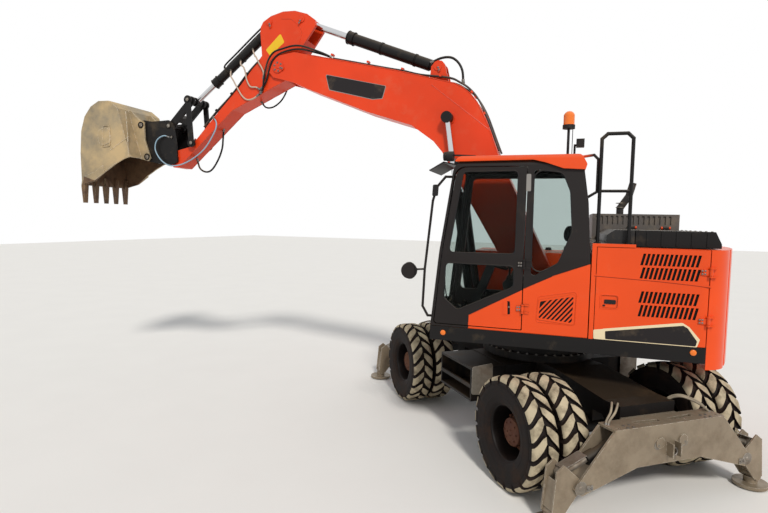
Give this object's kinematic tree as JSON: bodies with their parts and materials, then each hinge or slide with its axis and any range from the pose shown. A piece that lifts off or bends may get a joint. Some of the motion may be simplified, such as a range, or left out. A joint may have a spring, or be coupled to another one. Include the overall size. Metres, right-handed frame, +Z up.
{
  "type": "wheeled excavator",
  "caption": "Wheeled excavator with an orange one-piece boom, a quick coupler and toothed bucket, a glazed cab, twin tyres and outriggers.",
  "frame": {"origin": "centre of the overall box, on the ground under the tyres", "axes": "+X points forward along the boom as it is stored, +Y to the operator's left, +Z up; the undercarriage is turned 52 degrees clockwise under the upper structure"},
  "size_m": [8.9195, 5.1123, 5.256],
  "materials": {
    "black_paint": "satin, dusty",
    "bucket_steel": "worn and dusty",
    "cab_grey": "satin",
    "dusty_steel": "worn and dusty",
    "engine_iron": "cast",
    "glass": "tinted",
    "orange_paint": "semi-gloss, dusty",
    "rim_dust": "dusty",
    "rod_chrome": "polished",
    "seat_cloth": "cloth",
    "tyre": "dusty rubber"
  },
  "bodies": {
    "chassis": {"chassis_frame": "black_paint", "chassis_boxes": "black_paint", "axles": "black_paint", "outrigger_beams": "dusty_steel"},
    "knuckle_left": {"knuckle_left": "black_paint"},
    "knuckle_right": {"knuckle_right": "black_paint"},
    "wheels_rear_left": {"rims_rear_left": "rim_dust", "tyres_rear_left": "tyre"},
    "wheels_rear_right": {"rims_rear_right": "rim_dust", "tyres_rear_right": "tyre"},
    "wheels_front_left": {"rims_front_left": "rim_dust", "tyres_front_left": "tyre"},
    "wheels_front_right": {"rims_front_right": "rim_dust", "tyres_front_right": "tyre"},
    "leg_rear_left": {"leg_rear_left": "dusty_steel"},
    "leg_rear_right": {"leg_rear_right": "dusty_steel"},
    "leg_front_left": {"leg_front_left": "dusty_steel"},
    "leg_front_right": {"leg_front_right": "dusty_steel"},
    "leg_barrel_rear_left": {"leg_barrel_rear_left": "black_paint"},
    "leg_barrel_rear_right": {"leg_barrel_rear_right": "black_paint"},
    "leg_barrel_front_left": {"leg_barrel_front_left": "black_paint"},
    "leg_barrel_front_right": {"leg_barrel_front_right": "black_paint"},
    "leg_rod_rear_left": {"leg_rod_rear_left": "dusty_steel"},
    "leg_rod_rear_right": {"leg_rod_rear_right": "dusty_steel"},
    "leg_rod_front_left": {"leg_rod_front_left": "dusty_steel"},
    "leg_rod_front_right": {"leg_rod_front_right": "dusty_steel"},
    "house": {"house_frame": "black_paint", "counterweight": "orange_paint", "engine_block": "engine_iron", "side_panels": "orange_paint", "cab_frame": "cab_grey", "cab_glass": "glass", "cab_seat": "seat_cloth", "handrails": "black_paint", "cab_controls": "black_paint", "lamps": "black_paint"},
    "engine_door": {"engine_door": "orange_paint"},
    "engine_hood": {"engine_hood": "black_paint"},
    "cab_door": {"cab_door": "cab_grey", "door_glass": "glass"},
    "boom": {"boom": "orange_paint"},
    "boom_barrels": {"boom_barrels": "black_paint"},
    "boom_rods": {"boom_rods": "rod_chrome"},
    "arm": {"arm": "orange_paint"},
    "arm_barrel": {"arm_barrel": "black_paint"},
    "arm_rod": {"arm_rod": "rod_chrome"},
    "idler": {"idler_links": "black_paint"},
    "link": {"bucket_link": "black_paint"},
    "bucket_barrel": {"bucket_barrel": "black_paint"},
    "bucket_rod": {"bucket_rod": "rod_chrome"},
    "bucket": {"quick_coupler": "black_paint", "bucket": "bucket_steel"}
  },
  "joints": [
    {"name": "slew", "type": "hinge", "parent": "chassis", "child": "house", "pos_m": [-2.2525, 0.2246, 1.16], "axis": [0, 0, 1], "continuous": true},
    {"name": "steer_left", "type": "hinge", "parent": "chassis", "child": "knuckle_left", "pos_m": [-0.99657, -0.57078, 0.527], "axis": [0, 0, 1], "range_deg": [-28, 28]},
    {"name": "steer_right", "type": "hinge", "parent": "chassis", "child": "knuckle_right", "pos_m": [-1.78458, -1.18645, 0.527], "axis": [0, 0, 1], "range_deg": [-28, 28]},
    {"name": "roll_rear_left", "type": "hinge", "parent": "chassis", "child": "wheels_rear_left", "pos_m": [-2.25923, 1.74216, 0.527], "axis": [0.788, 0.6157, 0], "continuous": true},
    {"name": "roll_rear_right", "type": "hinge", "parent": "chassis", "child": "wheels_rear_right", "pos_m": [-3.72336, 0.59826, 0.527], "axis": [0.788, 0.6157, 0], "continuous": true},
    {"name": "roll_front_left", "type": "hinge", "parent": "knuckle_left", "child": "wheels_front_left", "pos_m": [-0.65851, -0.30667, 0.527], "axis": [0.788, 0.6157, 0], "continuous": true},
    {"name": "roll_front_right", "type": "hinge", "parent": "knuckle_right", "child": "wheels_front_right", "pos_m": [-2.12264, -1.45056, 0.527], "axis": [0.788, 0.6157, 0], "continuous": true},
    {"name": "outrigger_rear_left", "type": "hinge", "parent": "chassis", "child": "leg_rear_left", "pos_m": [-2.65912, 2.27998, 0.335], "axis": [0.6157, -0.788, 0], "range_deg": [-20, 78]},
    {"name": "outrigger_barrel_rear_left", "type": "hinge", "parent": "chassis", "child": "leg_barrel_rear_left", "pos_m": [-3.08858, 1.94444, 0.69], "axis": [0.6157, -0.788, 0], "range_deg": [-2.35, 1.35]},
    {"name": "outrigger_rod_rear_left", "type": "slide", "parent": "leg_barrel_rear_left", "child": "leg_rod_rear_left", "axis": [0.7344, 0.5738, -0.3626], "range_m": [-0.1819, 0.0481]},
    {"name": "outrigger_rear_right", "type": "hinge", "parent": "chassis", "child": "leg_rear_right", "pos_m": [-4.14846, 1.11638, 0.335], "axis": [-0.6157, 0.788, 0], "range_deg": [-20, 78]},
    {"name": "outrigger_barrel_rear_right", "type": "hinge", "parent": "chassis", "child": "leg_barrel_rear_right", "pos_m": [-3.71899, 1.45192, 0.69], "axis": [-0.6157, 0.788, 0], "range_deg": [-2.35, 1.35]},
    {"name": "outrigger_rod_rear_right", "type": "slide", "parent": "leg_barrel_rear_right", "child": "leg_rod_rear_right", "axis": [-0.7344, -0.5738, -0.3626], "range_m": [-0.1819, 0.0481]},
    {"name": "outrigger_front_left", "type": "hinge", "parent": "chassis", "child": "leg_front_left", "pos_m": [-0.00562, -1.11635, 0.335], "axis": [0.6157, -0.788, 0], "range_deg": [-20, 78]},
    {"name": "outrigger_barrel_front_left", "type": "hinge", "parent": "chassis", "child": "leg_barrel_front_left", "pos_m": [-0.43508, -1.45188, 0.69], "axis": [0.6157, -0.788, 0], "range_deg": [-2.35, 1.35]},
    {"name": "outrigger_rod_front_left", "type": "slide", "parent": "leg_barrel_front_left", "child": "leg_rod_front_left", "axis": [0.7344, 0.5738, -0.3626], "range_m": [-0.1819, 0.0481]},
    {"name": "outrigger_front_right", "type": "hinge", "parent": "chassis", "child": "leg_front_right", "pos_m": [-1.49496, -2.27995, 0.335], "axis": [-0.6157, 0.788, 0], "range_deg": [-20, 78]},
    {"name": "outrigger_barrel_front_right", "type": "hinge", "parent": "chassis", "child": "leg_barrel_front_right", "pos_m": [-1.06549, -1.94441, 0.69], "axis": [-0.6157, 0.788, 0], "range_deg": [-2.35, 1.35]},
    {"name": "outrigger_rod_front_right", "type": "slide", "parent": "leg_barrel_front_right", "child": "leg_rod_front_right", "axis": [-0.7344, -0.5738, -0.3626], "range_m": [-0.1819, 0.0481]},
    {"name": "cab_door_hinge", "type": "hinge", "parent": "house", "child": "cab_door", "pos_m": [-2.1465, 1.4886, 1.5], "axis": [0, 0, 1], "range_deg": [0, 160]},
    {"name": "engine_door_hinge", "type": "hinge", "parent": "house", "child": "engine_door", "pos_m": [-3.7585, 1.4886, 1.5], "axis": [0, 0, 1], "range_deg": [0, 100]},
    {"name": "engine_hood_hinge", "type": "hinge", "parent": "house", "child": "engine_hood", "pos_m": [-3.4525, -0.0814, 2.462], "axis": [1, 0, 0], "range_deg": [0, 70]},
    {"name": "boom_lift", "type": "hinge", "parent": "house", "child": "boom", "pos_m": [-2.2525, 0.2246, 1.62], "axis": [0, -1, 0], "range_deg": [-70, 20]},
    {"name": "boom_barrels_swing", "type": "hinge", "parent": "house", "child": "boom_barrels", "pos_m": [-1.4925, 0.2246, 1.4], "axis": [0, -1, 0], "range_deg": [-76.75, 22.75]},
    {"name": "boom_rods_slide", "type": "slide", "parent": "boom_barrels", "child": "boom_rods", "axis": [0.1582, 0, 0.9874], "range_m": [-0.748, 0.2158]},
    {"name": "arm_swing", "type": "hinge", "parent": "boom", "child": "arm", "pos_m": [1.2325, 0.2246, 4.522], "axis": [0, 1, 0], "range_deg": [-36, 76]},
    {"name": "arm_barrel_swing", "type": "hinge", "parent": "boom", "child": "arm_barrel", "pos_m": [-0.9525, 0.2246, 4.395], "axis": [0, 1, 0], "range_deg": [-2.23, 3.43]},
    {"name": "arm_rod_slide", "type": "slide", "parent": "arm_barrel", "child": "arm_rod", "axis": [0.9296, 0, 0.3685], "range_m": [-0.3705, 0.7788]},
    {"name": "bucket_curl", "type": "hinge", "parent": "arm", "child": "bucket", "pos_m": [2.9585, 0.2246, 3.328], "axis": [0, -1, 0], "range_deg": [-115, 22]},
    {"name": "idler_swing", "type": "hinge", "parent": "arm", "child": "idler", "pos_m": [2.6275, 0.2246, 3.547], "axis": [0, 1, 0], "range_deg": [-20, 92]},
    {"name": "link_swing", "type": "hinge", "parent": "bucket", "child": "link", "pos_m": [3.0475, 0.2246, 3.81], "axis": [0, 1, 0], "range_deg": [-95, 20]},
    {"name": "bucket_barrel_swing", "type": "hinge", "parent": "arm", "child": "bucket_barrel", "pos_m": [1.3905, 0.2246, 5.136], "axis": [0, 1, 0], "range_deg": [-2, 5]},
    {"name": "bucket_rod_slide", "type": "slide", "parent": "bucket_barrel", "child": "bucket_rod", "axis": [0.7989, 0, -0.6015], "range_m": [-0.17, 0.86]}
  ],
  "couplings": [
    {"joint": "steer_right", "follows": "steer_left", "ratio": 1},
    {"joint": "outrigger_barrel_rear_left", "follows": "outrigger_rear_left", "ratio": -0.01734},
    {"joint": "outrigger_rod_rear_left", "follows": "outrigger_rear_left", "m_per_rad": -0.13214},
    {"joint": "outrigger_barrel_rear_right", "follows": "outrigger_rear_right", "ratio": -0.01734},
    {"joint": "outrigger_rod_rear_right", "follows": "outrigger_rear_right", "m_per_rad": -0.13214},
    {"joint": "outrigger_barrel_front_left", "follows": "outrigger_front_left", "ratio": -0.01734},
    {"joint": "outrigger_rod_front_left", "follows": "outrigger_front_left", "m_per_rad": -0.13214},
    {"joint": "outrigger_barrel_front_right", "follows": "outrigger_front_right", "ratio": -0.01734},
    {"joint": "outrigger_rod_front_right", "follows": "outrigger_front_right", "m_per_rad": -0.13214},
    {"joint": "boom_barrels_swing", "follows": "boom_lift", "ratio": 1.08},
    {"joint": "boom_rods_slide", "follows": "boom_lift", "m_per_rad": 0.60977},
    {"joint": "arm_barrel_swing", "follows": "arm_swing", "ratio": 0.03},
    {"joint": "arm_rod_slide", "follows": "arm_swing", "m_per_rad": 0.58488},
    {"joint": "idler_swing", "follows": "bucket_curl", "ratio": -0.78},
    {"joint": "link_swing", "follows": "bucket_curl", "ratio": 0.78},
    {"joint": "bucket_barrel_swing", "follows": "bucket_curl", "ratio": -0.02},
    {"joint": "bucket_rod_slide", "follows": "bucket_curl", "m_per_rad": -0.42}
  ]
}
